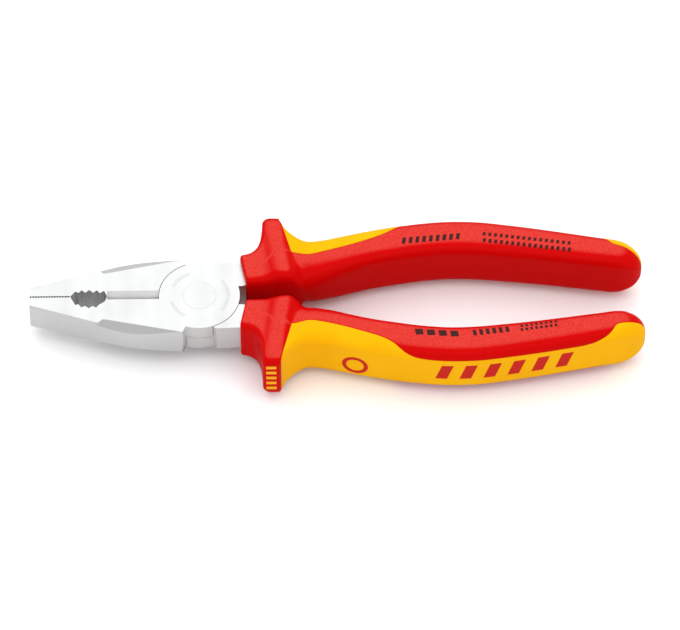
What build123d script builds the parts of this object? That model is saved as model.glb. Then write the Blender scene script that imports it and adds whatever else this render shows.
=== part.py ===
from build123d import *
import os
from math import atan2, cos, radians, sin, tan

from numpy import interp, linspace

# Insulated combination pliers lying flat, nose towards -X. Everything is modelled about the
# pivot, with the lap plane of the joint at Z = 0, and moved to the part's own frame at the end.
# Lever A holds the front (-Y) jaw, the upper joint disc and the rear (+Y) handle. Lever B is
# the same forging turned half a turn about X, with its own pipe grip and cutter depths.

# Overall sizes, in millimetres and degrees
NOSE_REACH = 52.5           # pivot to nose
TAIL_REACH = 137.5          # pivot to tail
HEAD_THICKNESS = 10.4
NOSE_HALF_WIDTH = 3.95
OPENING_ANGLE = 36.0        # travel of the joint
STOP_MARGIN = 3.8           # angle left between the shoulders when fully open

# Lap joint
DISC_RADIUS = 12.5
DISC_CLEARANCE = 0.20       # disc to pocket wall
LAP_GAP = 0.10              # between the two discs
JAW_GAP = 0.16              # between the closed jaws
JAW_RIM = 1.35              # how far the jaw stands out beyond the disc
SHANK_RIM = 0.2             # the same for the shank
SHANK_CORNER = 0.9          # bevel on the shank's shoulder
RIVET_RADIUS = 4.0
RIVET_HEAD_RADIUS = 5.2
RIVET_HEAD_DEPTH = 1.2
RIVET_CLEARANCE = 0.05      # running fit in lever A; lever B holds the rivet tight

# Outer edge of a jaw: share of the way from nose to shoulder, share of the widening
JAW_EDGE = ((0, 0), (0.105, 0.136), (0.326, 0.43), (0.526, 0.783),
            (0.705, 0.975), (0.81, 1.0), (1, 0.995))

# Ground facets on the outer edges of each jaw
CHEEK_START, CHEEK_HALF_WIDTH = 29.6, 8.7    # nose-side end: distance before the pivot, from Y = 0
CHEEK_TAPER = 0.213         # sideways run of the facet's upper edge per millimetre
CHEEK_DIP = 28.0
CHEEK_END_SLANT = 45.0
TIP_CHAMFER = 0.80          # width of the chamfer at the nose
TIP_CHAMFER_LENGTH = 15.5
TIP_CHAMFER_DIP = 46.0

# Jaw faces
TOOTH_PITCH = 0.83
TOOTH_DEPTH = 0.3
TOOTH_START = 0.35          # first groove, behind the nose
PIPE_GRIP_START, PIPE_GRIP_END = 39.9, 28.5  # distances before the pivot
# Notches and crests of the pipe grip: distance before the pivot, depth
FRONT_NOTCHES = ((38.3, 3.3), (37.4, 2.9), (36.4, 4.2), (35.3, 3.6), (34.1, 4.5), (32.9, 3.6),
                 (31.8, 4.3), (31.0, 3.2), (29.2, 2.0))
REAR_NOTCHES = ((38.4, 2.0), (37.4, 1.4), (36.4, 2.5), (35.3, 1.45), (34.1, 2.6), (32.9, 1.4),
                (31.7, 2.4), (30.8, 1.25), (29.5, 2.2))
FRONT_CUTTER_SETBACK = 1.2  # jaw face to the bevel's edge on the head's flat face
REAR_CUTTER_SETBACK = 2.1
CUTTER_LAND = 0.5           # height of the cutting edge's flat

# Shanks and tangs
SHANK_SPACING = 7.0         # between the two shanks
SHANK_THICKNESS = 9.3       # inside the grips
SHANK_FALL = 0.04           # from the disc's flat face to the collar
TANG_HALF_WIDTH = 3.6       # where it enters the grip
TANG_TIP_HALF_WIDTH = 2.6
TANG_END_MARGIN = 19.0      # tip of the tang to the tail of the grip

# Grips
COLLAR_GAP = 2.1            # disc to the inner front corner of the collar
COLLAR_LEAN = 2.3           # the collar's outer front corner stands this much further forward
COLLAR_LENGTH = 5.0         # collar's inner front corner to the guard's front
COLLAR_HEIGHT = 17.0
COLLAR_WALL = 1.3           # plastic outside the shank
GRIP_INNER_EDGE = 3.0       # collar and guard to the middle plane
GUARD_REACH = 28.0          # middle plane to the guard's outer end
GUARD_WIDTH = 5.3           # along the tool, at the outer end
GUARD_HEIGHT = 22.5
GUARD_CREST_END = 13.0      # the guard gets lower from here, measured from the middle plane,
GUARD_END_HEIGHT = 16.4     # down to this height at its outer end
GUARD_LEAN = 3.4            # the guard's inner end stands this much further back
GUARD_ROUND = 1.2
GUARD_FLARE = 6.0           # length of the sweep from guard to handle
HANDLE_HEIGHT = 19.0
HANDLE_ROUND = 4.0
NECK_HALF_WIDTH = 7.0
HANDLE_HALF_WIDTH = 6.05
TAIL_HALF_WIDTH = 4.9
SLEEVE_WALL = 1.1           # insulating sleeve around the tang
# Middle line of the handle: share of the way from collar to tail, distance from the middle plane
HANDLE_LINE = ((0.158, 11.6), (0.329, 17.3), (0.512, 20.4), (0.695, 18.4), (1, 12.1))

# Soft panel on the outer side of each grip
PANEL_WALL = 1.8
PANEL_BAND_BELOW, PANEL_BAND_ABOVE = 5.3, 7.4   # edges of the band along the side, from the lap plane
FRONT_WRAP_LENGTH = 33.0    # guard to where the panel leaves the top face
TAIL_WRAP_LENGTH = 13.5
INLAY_DEPTH = 0.6
STRIPE_COUNT, STRIPE_PITCH, STRIPE_WIDTH, STRIPE_HEIGHT = 6, 7.4, 3.6, 6.6
STRIPE_SLANT = -2.0
STRIPE_START = 0.47         # share of the way from collar to tail
RING_RADIUS, RING_WIDTH, RING_RISE = 4.0, 1.3, 2.0
RING_START = 0.27
GUARD_BAR_COUNT, GUARD_BAR_PITCH, GUARD_BAR_HEIGHT, GUARD_BAR_LENGTH = 5, 2.6, 1.3, 3.2
# Panel's edge on the flat faces: distance behind the guard or before the tail, distance outside
# the handle's middle line
PANEL_FRONT_EDGE = ((3.4, 2.1), (9.0, 1.3), (18.5, 0.9), (28.0, 1.1))
PANEL_TAIL_EDGE = ((12.5, 4.6), (10.0, 2.3), (7.0, 1.7), (0.0, 1.4))

# Worked out from the sizes above
head_top = HEAD_THICKNESS / 2
half_gap = JAW_GAP / 2
pocket_radius = DISC_RADIUS + DISC_CLEARANCE
jaw_half_width = DISC_RADIUS + JAW_RIM
shank_outer = DISC_RADIUS + SHANK_RIM
shank_inner = SHANK_SPACING / 2
notch_angle = radians((OPENING_ANGLE + STOP_MARGIN) / 2)
collar_x = DISC_RADIUS + COLLAR_GAP
guard_x = collar_x + COLLAR_LENGTH
tooth_count = int((NOSE_REACH - PIPE_GRIP_START - TOOTH_START) / TOOTH_PITCH) + 1
shoulder_x = -jaw_half_width * tan(notch_angle)
tang_end = TAIL_REACH - TANG_END_MARGIN
tail_centre = TAIL_REACH - TAIL_HALF_WIDTH
tall = 2 * GUARD_HEIGHT     # longer than any piece is high, for cutters


def handle_x(share):
    return collar_x + share * (TAIL_REACH - collar_x)


# Middle line of the handle as Y against X
line_points = [(collar_x, (shank_inner + shank_outer) / 2 + 0.3)]
line_points += [(handle_x(share), y) for share, y in HANDLE_LINE]
middle_line = Spline(*line_points)
line_samples = [middle_line @ t for t in linspace(0, 1, 120)]
line_xs = [p.X for p in line_samples]
line_ys = [p.Y for p in line_samples]


def middle_point(x, aside):
    """Point at a distance beside the handle's middle line, and the line's direction there."""
    y = float(interp(x, line_xs, line_ys))
    behind, ahead = interp([x - 0.5, x + 0.5], line_xs, line_ys)
    angle = atan2(ahead - behind, min(x + 0.5, line_xs[-1]) - max(x - 0.5, line_xs[0]))
    return (x - aside * sin(angle), y + aside * cos(angle)), (cos(angle), sin(angle))


def bar_along_handle(first, last, width, height, inset=0.0, stations=9):
    """Bar along the handle's middle line, rounded at its end; inset pulls its outer side in."""
    xs = linspace(first, last, stations)
    outer = [middle_point(x, width(x) - inset)[0] for x in xs]
    inner = [middle_point(x, -width(x))[0] for x in xs]
    tip, heading = middle_point(last, -inset / 2)
    reach = width(last) - inset / 2
    start_heading = middle_point(first, 0)[1]
    with BuildSketch() as plan:
        with BuildLine():
            Spline(*outer, tangents=[start_heading, heading])
            ThreePointArc(outer[-1], (tip[0] + reach * heading[0], tip[1] + reach * heading[1]),
                          inner[-1])
            Spline(*inner[::-1], tangents=[(-heading[0], -heading[1]),
                                           (-start_heading[0], -start_heading[1])])
            Line(inner[0], outer[0])
        make_face()
    return extrude(plan.sketch, amount=height / 2, both=True)


def plate(points, height, rounding=0.0):
    """Flat plate with straight edges, centred on Z = 0."""
    solid = extrude(make_face(Polyline(*points, close=True)), amount=height / 2, both=True)
    if rounding:
        solid = fillet(solid.edges().filter_by(Axis.Z), rounding)
    return solid


def rim_edges(solid, height):
    return [e for side in (-1, 1)
            for e in solid.edges().filter_by_position(Axis.Z, side * height / 2, side * height / 2)]


def both_faces(cutter):
    return [cutter, mirror(cutter, about=Plane.XY)]


# Levers

def edge_facet(before_pivot, half_width, taper, dip, end_slant):
    """Cutter for a plane ground on the front jaw's upper outer edge, open towards the joint."""
    length = before_pivot
    run = Vector(1, -taper, 0).normalized()
    down = (run.cross(Vector(0, 0, 1)) * cos(radians(dip)) - Vector(0, 0, sin(radians(dip))))
    plane = Plane(origin=(-before_pivot, -half_width, head_top), x_dir=run, z_dir=down.cross(run) * -1)
    depth = HEAD_THICKNESS
    reach = plane.to_local_coords(plane.origin + down * depth).Y
    slant = depth * tan(radians(end_slant))
    outline = Polyline((0, 0), (length, 0), (length, reach), (-slant, reach), close=True)
    facet = extrude(plane * make_face(outline), amount=depth)
    if facet.center().Z < head_top - depth / 2:
        facet = extrude(plane * make_face(outline), amount=-depth)
    return facet


def jaw_blank():
    shoulder = (-pocket_radius * sin(notch_angle), -pocket_radius * cos(notch_angle))
    edge = [(-NOSE_REACH + share * (NOSE_REACH + shoulder_x),
             -NOSE_HALF_WIDTH - widening * (jaw_half_width - NOSE_HALF_WIDTH))
            for share, widening in JAW_EDGE]
    with BuildSketch() as plan:
        with BuildLine():
            Polyline((0, -half_gap), (-NOSE_REACH, -half_gap), edge[0])
            Spline(*edge)
            Polyline(edge[-1], shoulder, (0, -half_gap))
        make_face()
    return extrude(plan.sketch, amount=head_top, both=True)


def widening_at(from_nose):
    """How much wider than the nose a jaw is, this far behind the nose."""
    shares, widenings = zip(*JAW_EDGE)
    share = from_nose / (NOSE_REACH + shoulder_x)
    return float(interp(share, shares, widenings)) * (jaw_half_width - NOSE_HALF_WIDTH)


def jaw_teeth():
    grooves = []
    for i in range(tooth_count):
        x = -NOSE_REACH + TOOTH_START + i * TOOTH_PITCH
        half = 0.45 * TOOTH_PITCH
        grooves.append(plate([(x - half, half_gap), (x - half, -half_gap), (x, -half_gap - TOOTH_DEPTH),
                              (x + half, -half_gap), (x + half, half_gap)], tall))
    return grooves


def pipe_grip(notches):
    points = [(-PIPE_GRIP_START, half_gap), (-PIPE_GRIP_START, -half_gap)]
    points += [(-x, -depth) for x, depth in notches]
    points += [(-PIPE_GRIP_END, -half_gap), (-PIPE_GRIP_END, half_gap)]
    return plate(points, tall)


def cutter_bevel(setback):
    """Bevel of the cutting edge on the upper side, from the pipe grip to the joint."""
    length = PIPE_GRIP_END - pocket_radius * 0.5
    low = CUTTER_LAND / 2
    outline = Polyline((half_gap, low), (-half_gap, low), (-half_gap - 0.45 * setback, 0.62 * head_top),
                       (-setback, head_top), (-setback, tall), (half_gap, tall), close=True)
    return extrude(Plane(origin=(-PIPE_GRIP_END, 0, 0), x_dir=(0, 1, 0), z_dir=(1, 0, 0))
                   * make_face(outline), amount=length)


def tang_width(x):
    return float(interp(x, [collar_x, tang_end], [TANG_HALF_WIDTH, TANG_TIP_HALF_WIDTH]))


def tang_bar(wall=0.0):
    """The tang inside the grip, or with a wall added, the sleeve that covers it."""
    end = tang_end - TANG_TIP_HALF_WIDTH
    return bar_along_handle(collar_x + COLLAR_LENGTH / 2 - wall, end,
                            lambda x: tang_width(x) + wall, SHANK_THICKNESS + 2 * wall)


def shank():
    shoulder = (pocket_radius * sin(notch_angle), pocket_radius * cos(notch_angle))
    corner = (shank_outer * tan(notch_angle) + SHANK_CORNER * 0.7, shank_outer)
    entry = collar_x + COLLAR_LENGTH
    inner_entry = middle_point(entry, -tang_width(entry))[0]
    outer_entry = middle_point(entry, tang_width(entry))[0]
    outline = [(0, shank_inner), (collar_x - COLLAR_GAP * 0.7, shank_inner), inner_entry, outer_entry,
               (collar_x - COLLAR_LEAN, shank_outer - 0.3), corner, shoulder, (0, shank_outer / 2)]
    return plate(outline, HEAD_THICKNESS)


def thinning():
    """Side view of shank and tang: head thickness at the disc, thinner inside the grip."""
    half = SHANK_THICKNESS / 2
    upper = [(0, head_top), (DISC_RADIUS, head_top), (collar_x + 0.5, head_top - SHANK_FALL),
             (collar_x + COLLAR_LENGTH, half), (TAIL_REACH, half)]
    lower = [(x, -z) for x, z in upper[::-1]]
    face = make_face(Polyline(*upper, *lower, close=True))
    return extrude(Plane.XZ * face, amount=-GUARD_REACH * 2)


def rivet_shape(grow):
    """Flush rivet: a pin with a cone at each end; grow widens it into its own bore."""
    r, head = RIVET_RADIUS + grow, RIVET_HEAD_RADIUS + grow
    neck = head_top - RIVET_HEAD_DEPTH
    profile = Polyline((0, -head_top), (head, -head_top), (r, -neck), (r, neck), (head, head_top),
                       (0, head_top), close=True)
    return revolve(Plane.XZ * make_face(profile), Axis.Z)


def make_lever(notches, cutter_setback, rivet_gap):
    """One forging in lever A's position: front jaw, upper disc, rear shank."""
    jaw = jaw_blank()
    cheek = edge_facet(CHEEK_START, CHEEK_HALF_WIDTH, CHEEK_TAPER, CHEEK_DIP, CHEEK_END_SLANT)
    tip_taper = (widening_at(TIP_CHAMFER_LENGTH) + TIP_CHAMFER) / TIP_CHAMFER_LENGTH
    tip = edge_facet(NOSE_REACH, NOSE_HALF_WIDTH - TIP_CHAMFER, tip_taper, TIP_CHAMFER_DIP, 0)
    jaw -= both_faces(cheek) + both_faces(tip) + both_faces(cutter_bevel(cutter_setback))
    jaw -= [*jaw_teeth(), pipe_grip(notches)]
    handle = (shank() + tang_bar()) & thinning()
    disc_height = head_top - LAP_GAP / 2
    disc = Pos(0, 0, LAP_GAP / 2) * Cylinder(DISC_RADIUS, disc_height,
                                             align=(Align.CENTER, Align.CENTER, Align.MIN))
    pocket = Pos(0, 0, LAP_GAP / 2) * Cylinder(pocket_radius, tall,
                                               align=(Align.CENTER, Align.CENTER, Align.MAX))
    bore = Cylinder(RIVET_RADIUS, tall)
    return (jaw + handle - pocket + disc - bore) - rivet_shape(rivet_gap)


# Grips

def grip_width(x):
    """Half the grip's width: widest at the neck behind the guard, narrowing to the tail."""
    stations = [collar_x, guard_x + 4, handle_x(0.158), handle_x(0.28), handle_x(0.6), tail_centre]
    widths = [NECK_HALF_WIDTH - 1.2, NECK_HALF_WIDTH, NECK_HALF_WIDTH, HANDLE_HALF_WIDTH,
              HANDLE_HALF_WIDTH, TAIL_HALF_WIDTH]
    return float(interp(x, stations, widths))


def handle_bar(wall=0.0, height_wall=0.0):
    """The grip behind the guard; wall pulls its outer side in, height_wall its flat faces."""
    return bar_along_handle(guard_x + 1, tail_centre, grip_width, HANDLE_HEIGHT - 2 * height_wall,
                            inset=wall, stations=10)


def rounded(solid, height, radius):
    return fillet(rim_edges(solid, height), radius)


def guard_side_view():
    """The guard seen along the tool: full height near the joint, lower at its outer end."""
    crest, end = GUARD_HEIGHT / 2, GUARD_END_HEIGHT / 2
    upper = [(0, crest), (GUARD_CREST_END, crest), (GUARD_REACH, end)]
    lower = [(y, -z) for y, z in upper[::-1]]
    return extrude(Plane.YZ * make_face(Polyline(*upper, *lower, close=True)), amount=TAIL_REACH)


def grip_solid():
    """Full outer shape of a grip: collar, guard and handle."""
    collar_outer = shank_outer + COLLAR_WALL
    inside_guard = guard_x + GUARD_WIDTH - GUARD_ROUND
    collar = plate([(collar_x, GRIP_INNER_EDGE), (inside_guard, GRIP_INNER_EDGE),
                    (inside_guard, collar_outer + 5), (guard_x - 0.6, collar_outer + 5),
                    (guard_x - 2.2, collar_outer + 2.2), (guard_x - 4.6, collar_outer + 0.4),
                    (collar_x - COLLAR_LEAN, collar_outer)], COLLAR_HEIGHT)
    collar = rounded(collar, COLLAR_HEIGHT, GUARD_ROUND)
    sweep_x = guard_x + GUARD_WIDTH + GUARD_FLARE
    neck_outer = middle_point(sweep_x, grip_width(sweep_x))[0]
    guard_back = guard_x + GUARD_WIDTH
    guard = plate([(guard_x + GUARD_LEAN, GRIP_INNER_EDGE), (guard_back + GUARD_LEAN, GRIP_INNER_EDGE),
                   (sweep_x - 1.5, neck_outer[1] - 1), (sweep_x - 3.4, GUARD_REACH - 7.2),
                   (guard_back + 0.8, GUARD_REACH - 2.4), (guard_back - 0.4, GUARD_REACH),
                   (guard_x, GUARD_REACH), (guard_x - 0.4, GUARD_REACH - 6),
                   (guard_x - 0.2, neck_outer[1] - 3)], GUARD_HEIGHT, rounding=GUARD_ROUND * 0.75)
    guard = rounded(guard, GUARD_HEIGHT, GUARD_ROUND * 0.65) & guard_side_view()
    handle = rounded(handle_bar(), HANDLE_HEIGHT, min(HANDLE_ROUND, 0.8 * TAIL_HALF_WIDTH))
    return collar + guard + handle


def panel_region():
    """Space that the soft panel takes: a band along the side, wrapped over the faces at each end."""
    behind_guard = guard_x + GUARD_WIDTH
    beyond = GUARD_REACH + 2
    wrap_end = behind_guard + FRONT_WRAP_LENGTH
    front_edge = [middle_point(behind_guard + back, aside)[0] for back, aside in PANEL_FRONT_EDGE]
    front = plate([*front_edge, (wrap_end, GUARD_REACH - 4), (wrap_end, beyond),
                   (behind_guard - 0.2, beyond), (behind_guard, GUARD_REACH)], tall)
    tail_edge = [middle_point(TAIL_REACH - before, aside)[0] for before, aside in PANEL_TAIL_EDGE]
    tail = plate([(TAIL_REACH - TAIL_WRAP_LENGTH, beyond), *tail_edge, (TAIL_REACH + 2, tail_edge[-1][1]),
                  (TAIL_REACH + 2, beyond)], tall)
    band_start = behind_guard + 9
    inside = [middle_point(x, grip_width(x) - 2 * PANEL_WALL)[0]
              for x in linspace(band_start, TAIL_REACH, 9)]
    band = plate([*inside, (TAIL_REACH, beyond), (band_start, beyond)], PANEL_BAND_BELOW + PANEL_BAND_ABOVE)
    return front + tail + Pos(0, 0, (PANEL_BAND_ABOVE - PANEL_BAND_BELOW) / 2) * band


def side_stripes():
    """Cutters for the slanted stripes, from the handle's middle outwards."""
    stripes = []
    for i in range(STRIPE_COUNT):
        x = handle_x(STRIPE_START) + i * STRIPE_PITCH
        half = STRIPE_HEIGHT / 2
        low, high = x - STRIPE_SLANT / 2, x + STRIPE_SLANT / 2
        outline = Polyline((low, -half), (low + STRIPE_WIDTH, -half), (high + STRIPE_WIDTH, half),
                           (high, half), close=True)
        middle = middle_point(x, 0)[0][1]
        stripes.append(Pos(0, middle, 0) * extrude(Plane.XZ * make_face(outline), amount=-GUARD_REACH))
    return stripes


def side_ring():
    x = handle_x(RING_START)
    ring = Cylinder(RING_RADIUS, GUARD_REACH) - Cylinder(RING_RADIUS - RING_WIDTH, GUARD_REACH)
    middle = middle_point(x, 0)[0][1]
    return Pos(x, middle + GUARD_REACH / 2, RING_RISE) * Rot(90, 0, 0) * ring


def guard_bars():
    """Bars set into the guard's outer end."""
    middle = guard_x + GUARD_WIDTH / 2 - 0.2
    first = -(GUARD_BAR_COUNT - 1) / 2 * GUARD_BAR_PITCH
    return [Pos(middle, GUARD_REACH - INLAY_DEPTH / 2, first + i * GUARD_BAR_PITCH)
            * Box(GUARD_BAR_LENGTH, INLAY_DEPTH, GUARD_BAR_HEIGHT) for i in range(GUARD_BAR_COUNT)]


def make_grip(tang_solid):
    """Every plastic piece of one handle, in lever A's position."""
    outer = grip_solid()
    sleeve_outer = tang_bar(SLEEVE_WALL)
    seat = handle_bar(PANEL_WALL, PANEL_WALL)
    panel = (outer & panel_region()) - seat - sleeve_outer
    shallow = handle_bar(INLAY_DEPTH)
    stripes = [(outer & stripe) - shallow for stripe in side_stripes()]
    ring = (outer & side_ring()) - shallow
    bars = guard_bars()
    red = outer - panel_region() + (outer & seat) - sleeve_outer - tang_solid - bars
    panel -= [*stripes, ring]
    sleeve = sleeve_outer - tang_solid
    return {"tang_sleeve": sleeve, "grip_body": red, "soft_panel": panel,
            "panel_stripes": Compound(children=stripes), "panel_ring": ring,
            "guard_bars": Compound(children=bars)}


# Assembly

flip = Rot(180, 0, 0)
to_frame = Pos((NOSE_REACH - TAIL_REACH) / 2, 0, GUARD_HEIGHT / 2)

lever_a = make_lever(FRONT_NOTCHES, FRONT_CUTTER_SETBACK, RIVET_CLEARANCE)
lever_b = make_lever(REAR_NOTCHES, REAR_CUTTER_SETBACK, 0)
grip = make_grip(lever_a)

nodes = {"jaw_lever_a": lever_a, "jaw_lever_b": flip * lever_b, "rivet": rivet_shape(0)}
for name, solid in grip.items():
    nodes[name + "_a"] = solid
    nodes[name + "_b"] = flip * solid

os.makedirs("parts", exist_ok=True)
for name, solid in nodes.items():
    placed = to_frame * solid
    placed.label = name
    export_step(placed, f"parts/{name}.step")
    print(f"{name}: {placed.volume:.1f} mm3")
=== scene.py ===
import math

import bmesh
import bpy
import numpy as np
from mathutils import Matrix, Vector


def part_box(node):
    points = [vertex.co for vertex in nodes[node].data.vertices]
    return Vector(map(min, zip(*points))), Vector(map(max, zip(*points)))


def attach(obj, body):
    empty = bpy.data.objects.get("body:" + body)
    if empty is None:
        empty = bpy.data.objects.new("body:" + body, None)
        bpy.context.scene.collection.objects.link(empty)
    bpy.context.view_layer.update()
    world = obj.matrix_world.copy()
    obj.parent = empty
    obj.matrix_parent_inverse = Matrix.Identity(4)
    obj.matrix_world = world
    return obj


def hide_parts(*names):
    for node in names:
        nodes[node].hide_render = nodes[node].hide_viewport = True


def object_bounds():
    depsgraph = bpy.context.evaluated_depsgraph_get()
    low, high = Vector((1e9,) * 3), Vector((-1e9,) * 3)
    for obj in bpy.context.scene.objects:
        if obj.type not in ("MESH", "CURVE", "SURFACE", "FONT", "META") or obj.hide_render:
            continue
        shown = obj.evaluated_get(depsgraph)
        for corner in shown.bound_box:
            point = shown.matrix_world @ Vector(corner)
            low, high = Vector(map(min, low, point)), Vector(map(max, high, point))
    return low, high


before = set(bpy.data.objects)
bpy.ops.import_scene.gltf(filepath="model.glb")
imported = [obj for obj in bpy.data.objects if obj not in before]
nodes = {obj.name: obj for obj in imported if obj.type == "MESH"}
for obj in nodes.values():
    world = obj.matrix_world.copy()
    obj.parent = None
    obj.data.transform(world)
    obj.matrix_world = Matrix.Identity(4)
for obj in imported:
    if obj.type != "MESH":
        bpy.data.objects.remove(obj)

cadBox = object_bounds()
mm = 0.001

# The pivot is the middle of the rivet. Lever A and its rear grip swing, lever B and its front grip stay.
rivetLow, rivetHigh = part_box("rivet")
pivot = (rivetLow + rivetHigh) / 2
sides = {
    "a": {"body": "swing_half", "turn": 1},
    "b": {"body": "fixed_half", "turn": -1},     # the same forging and grip, turned half a turn about X
}


def toFrame(points, turn):
    # From millimetres about the pivot to the frame's own place
    placed = np.array(points, float) * (1, turn, turn) * mm
    return placed + np.array(pivot)


def meshObject(name, points, faces, finish, smooth=True):
    mesh = bpy.data.meshes.new(name)
    mesh.from_pydata([tuple(p) for p in points], [], faces)
    mesh.validate()
    mesh.materials.append(finish)
    piece = bpy.data.objects.new(name, mesh)
    bpy.context.scene.collection.objects.link(piece)
    work = bmesh.new()
    work.from_mesh(mesh)
    bmesh.ops.recalc_face_normals(work, faces=work.faces)
    work.to_mesh(mesh)
    work.free()
    mesh.polygons.foreach_set("use_smooth", [smooth] * len(mesh.polygons))
    return piece


# Shared effects

def newGroup(name, inputs, outputs):
    group = bpy.data.node_groups.new(name, "ShaderNodeTree")
    for label, value in inputs.items():
        socket = group.interface.new_socket(label, in_out="INPUT", socket_type="NodeSocketFloat")
        socket.default_value = value
    for label in outputs:
        group.interface.new_socket(label, in_out="OUTPUT", socket_type="NodeSocketFloat")
    return group, group.nodes.new("NodeGroupInput"), group.nodes.new("NodeGroupOutput")


def addNode(tree, kind, links=(), **values):
    # links: pairs of input name or number and source; values: settings and unlinked inputs
    node = tree.nodes.new(kind)
    for key, value in values.items():
        if hasattr(node, key) and key not in node.inputs:
            setattr(node, key, value)
        else:
            node.inputs[key].default_value = value
    for key, source in links:
        tree.links.new(source, node.inputs[key])
    return node


def mathNode(tree, operation, first, second=None, clamp=False):
    node = tree.nodes.new("ShaderNodeMath")
    node.operation = operation
    node.use_clamp = clamp
    for slotNumber, value in enumerate((first, second)):
        if value is None:
            continue
        if isinstance(value, (int, float)):
            node.inputs[slotNumber].default_value = value
        else:
            tree.links.new(value, node.inputs[slotNumber])
    return node.outputs[0]


def ramp(tree, source, low, high):
    # 0 below low, 1 above high, smooth between
    node = tree.nodes.new("ShaderNodeMapRange")
    node.interpolation_type = "SMOOTHSTEP"
    node.inputs["From Min"].default_value = low
    node.inputs["From Max"].default_value = high
    tree.links.new(source, node.inputs["Value"])
    return node.outputs["Result"]


def objectPlace(tree):
    return tree.nodes.new("ShaderNodeTexCoord").outputs["Object"]


def mouldGrainGroup():
    # Fine pebbled grain of a moulded surface: height for bump, tone for colour
    group, given, result = newGroup("mouldGrain", {"Pebble": 1500.0, "Mottle": 260.0}, ("Height", "Tone"))
    place = objectPlace(group)
    pebble = addNode(group, "ShaderNodeTexVoronoi",
                     [("Vector", place), ("Scale", given.outputs["Pebble"])])
    speck = addNode(group, "ShaderNodeTexNoise", [("Vector", place), ("Scale", given.outputs["Mottle"])],
                    Detail=4.0, Roughness=0.65)
    group.links.new(pebble.outputs["Distance"], result.inputs["Height"])
    group.links.new(speck.outputs["Fac"], result.inputs["Tone"])
    return group


def grindLinesGroup():
    # Fine lines left by grinding, along one axis, with broader cloudy bands
    group, given, result = newGroup("grindLines", {"Along": 40.0, "Across": 2600.0, "Upright": 40.0},
                                    ("Height", "Streaks"))
    scale = addNode(group, "ShaderNodeCombineXYZ", [("X", given.outputs["Along"]),
                                                    ("Y", given.outputs["Across"]),
                                                    ("Z", given.outputs["Upright"])])
    place = addNode(group, "ShaderNodeMapping",
                    [("Vector", objectPlace(group)), ("Scale", scale.outputs[0])])
    fine = addNode(group, "ShaderNodeTexNoise", [("Vector", place.outputs[0])], Scale=1.0, Detail=3.0)
    broad = addNode(group, "ShaderNodeTexNoise", [("Vector", place.outputs[0])], Scale=0.18, Detail=2.0)
    group.links.new(fine.outputs["Fac"], result.inputs["Height"])
    group.links.new(broad.outputs["Fac"], result.inputs["Streaks"])
    return group


def handlingGroup():
    # Soft uneven patches where hands have dulled or polished a surface
    group, given, result = newGroup("handling", {"Size": 45.0}, ("Mask",))
    cloud = addNode(group, "ShaderNodeTexNoise",
                    [("Vector", objectPlace(group)), ("Scale", given.outputs["Size"])],
                    Detail=5.0, Roughness=0.55)
    group.links.new(ramp(group, cloud.outputs["Fac"], 0.38, 0.68), result.inputs["Mask"])
    return group


mouldGrain = mouldGrainGroup()
grindLines = grindLinesGroup()
handling = handlingGroup()


def useGroup(tree, group, **values):
    node = tree.nodes.new("ShaderNodeGroup")
    node.node_tree = group
    for key, value in values.items():
        node.inputs[key].default_value = value
    return node


def newFinish(name):
    finish = bpy.data.materials.new(name)
    finish.use_nodes = True
    return finish, finish.node_tree, finish.node_tree.nodes["Principled BSDF"]


def colourMix(tree, factor, first, second):
    node = tree.nodes.new("ShaderNodeMix")
    node.data_type = "RGBA"
    for label, value in (("A", first), ("B", second)):
        socket = [s for s in node.inputs if s.name == label and s.type == "RGBA"][0]
        if isinstance(value, tuple):
            socket.default_value = (*value, 1)
        else:
            tree.links.new(value, socket)
    tree.links.new(factor, node.inputs[0])
    return [s for s in node.outputs if s.type == "RGBA"][0]


def valueMix(tree, factor, first, second):
    node = tree.nodes.new("ShaderNodeMix")
    node.inputs[2].default_value = first
    node.inputs[3].default_value = second
    tree.links.new(factor, node.inputs[0])
    return node.outputs[0]


def bump(tree, shader, height, strength, distance):
    node = addNode(tree, "ShaderNodeBump", [("Height", height)], Strength=strength, Distance=distance)
    tree.links.new(node.outputs["Normal"], shader.inputs["Normal"])


def upward(tree, low, high):
    # 1 on the flat faces above and below, 0 on the sides
    coords = tree.nodes.new("ShaderNodeTexCoord")
    split = addNode(tree, "ShaderNodeSeparateXYZ", [("Vector", coords.outputs["Normal"])])
    return ramp(tree, mathNode(tree, "ABSOLUTE", split.outputs["Z"]), low, high)


plastic = {
    # redGrainSheen: lighter coral for the flat faces, a painted sheen of the lamps mixed with the grain's
    # random tone
    "red": (0.545, 0.001, 0.001), "redGrainSheen": (0.62, 0.056, 0.043),
    "yellow": (0.825, 0.385, 0.0005), "yellowWorn": (0.85, 0.43, 0.002),
    "mark": (0.58, 0.012, 0.004), "guardMark": (0.90, 0.43, 0.004),
    "ink": (0.055, 0.012, 0.012),
}


def gripRed():
    finish, tree, shader = newFinish("gripRed")
    grain = useGroup(tree, mouldGrain, Pebble=2100.0, Mottle=2300.0)
    soft = useGroup(tree, handling, Size=60.0)
    flat = upward(tree, 0.86, 0.995)
    # The flat faces above and below are painted lighter coral where the grain's tone is high: painted
    # sheen over real grain. The sides keep the deep red.
    tone = mathNode(tree, "MULTIPLY", flat, ramp(tree, grain.outputs["Tone"], 0.1, 0.8))
    tree.links.new(colourMix(tree, tone, plastic["red"], plastic["redGrainSheen"]),
                   shader.inputs["Base Color"])
    rough = valueMix(tree, flat, 0.3, 0.46)
    uneven = mathNode(tree, "MULTIPLY", soft.outputs["Mask"], 0.07)
    tree.links.new(mathNode(tree, "ADD", rough, uneven), shader.inputs["Roughness"])
    height = mathNode(tree, "MULTIPLY", grain.outputs["Height"], mathNode(tree, "ADD", flat, 0.25))
    bump(tree, shader, height, 0.35, 0.00012)
    shader.inputs["Specular IOR Level"].default_value = 0.03
    return finish


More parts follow.
